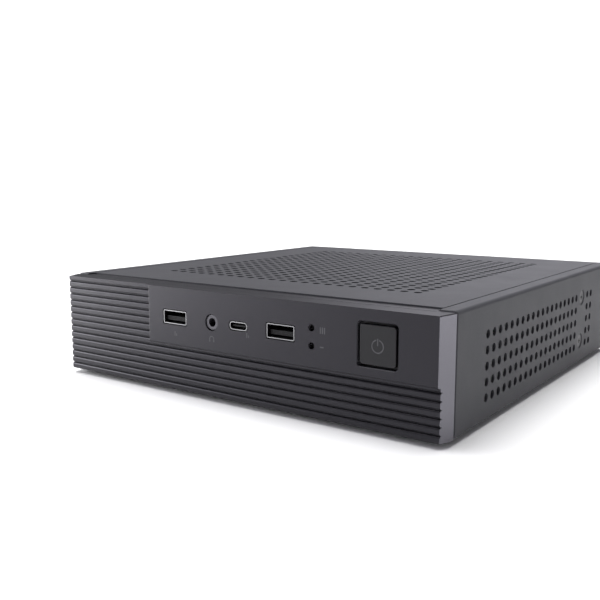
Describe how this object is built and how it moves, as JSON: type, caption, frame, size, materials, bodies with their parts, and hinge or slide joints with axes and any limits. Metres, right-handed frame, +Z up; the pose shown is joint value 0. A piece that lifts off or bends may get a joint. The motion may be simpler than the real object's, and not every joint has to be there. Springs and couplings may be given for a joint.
{
  "type": "mini pc",
  "caption": "Low square desktop computer in a dark grey steel case with a perforated slide-off cover, ribbed front, front sockets and a square power button.",
  "frame": {"origin": "middle of the footprint, on the surface that the feet stand on", "axes": "+Z up, +Y towards the rear panel, -Y towards the front panel, +X to the right seen from the front"},
  "size_m": [0.195, 0.206, 0.047],
  "materials": {
    "powder_coated_steel": "fine-textured dark grey powder coat",
    "moulded_front": "satin dark grey moulding",
    "button_plastic": "satin dark grey moulding",
    "pale_print": "pale grey print",
    "plated_steel": "zinc-plated sheet",
    "screw_steel": "dark plated steel",
    "socket_shell": "nickel-plated sheet",
    "brass_fittings": "plain turned",
    "foot_rubber": "matt black",
    "dark_tongue": "black moulding",
    "jack_plastic": "black moulding",
    "jack_collar": "polished grey collar",
    "gold_contact": "gold-plated",
    "diode": "white",
    "light_guide": "smoked clear plastic",
    "circuit_board": "solder mask",
    "cable_sleeve": "black sleeve",
    "plug_plastic": "black moulding",
    "chip_package": "moulded package",
    "can_metal": "plain",
    "sink_aluminium": "extruded",
    "fan_plastic": "black moulding",
    "copper_winding": "enamelled copper",
    "drive_case": "bead-blasted"
  },
  "bodies": {
    "chassis": {"base_tray": "powder_coated_steel", "front_bezel": "moulded_front", "front_pictograms": "pale_print", "cover_rails": "plated_steel", "rear_io_shield": "plated_steel", "drive_bracket": "plated_steel", "front_board_bracket": "plated_steel", "cooler_back_plate": "plated_steel", "side_screws": "screw_steel", "machine_screws": "screw_steel", "cooler_screws": "screw_steel", "front_usb_a_shells": "socket_shell", "rear_usb_a_shells": "socket_shell", "front_usb_c_shell": "socket_shell", "video_shells": "socket_shell", "lan_port": "socket_shell", "vesa_nuts": "brass_fittings", "board_standoffs": "brass_fittings", "rubber_feet": "foot_rubber", "usb_a_tongues": "dark_tongue", "front_usb_c_insert": "dark_tongue", "video_tongues": "dark_tongue", "front_audio_jack": "jack_collar", "rear_audio_jacks": "jack_plastic", "dc_inlet": "jack_plastic", "power_switch": "jack_plastic", "port_contacts": "gold_contact", "status_leds": "diode", "light_guides": "light_guide", "front_io_board": "circuit_board", "motherboard": "circuit_board", "m2_drive": "circuit_board", "memory_modules": "circuit_board", "wifi_card": "circuit_board", "flat_cables": "cable_sleeve", "fan_lead": "cable_sleeve", "cable_plugs": "plug_plastic", "memory_sockets": "plug_plastic", "card_sockets": "plug_plastic", "cpu_socket": "plug_plastic", "coin_cell_holder": "plug_plastic", "board_chips": "chip_package", "card_chips": "chip_package", "power_inductors": "chip_package", "capacitors": "can_metal", "coin_cell": "can_metal", "processor": "can_metal", "heatsink": "sink_aluminium", "chipset_heatsink": "sink_aluminium", "fan_frame": "fan_plastic", "fan_stator": "copper_winding", "drive": "drive_case"},
    "top_cover": {"top_cover": "powder_coated_steel", "thumbscrew_ferrules": "brass_fittings", "cover_thumbscrews": "screw_steel"},
    "power_button": {"power_button_cap": "button_plastic", "power_symbol": "pale_print", "switch_plunger": "jack_plastic"},
    "fan_rotor": {"fan_impeller": "fan_plastic", "fan_shaft": "screw_steel"}
  },
  "joints": [
    {"name": "cover_slide", "type": "slide", "parent": "chassis", "child": "top_cover", "axis": [0, 1, 0], "range_m": [0, 0.2]},
    {"name": "power_button_press", "type": "slide", "parent": "chassis", "child": "power_button", "axis": [0, 1, 0], "range_m": [0, 0.0008], "stiffness_N_per_m": 2500},
    {"name": "fan_spin", "type": "hinge", "parent": "chassis", "child": "fan_rotor", "pos_m": [-0.038, -0.002, 0.032], "axis": [0, 0, 1], "continuous": true}
  ]
}
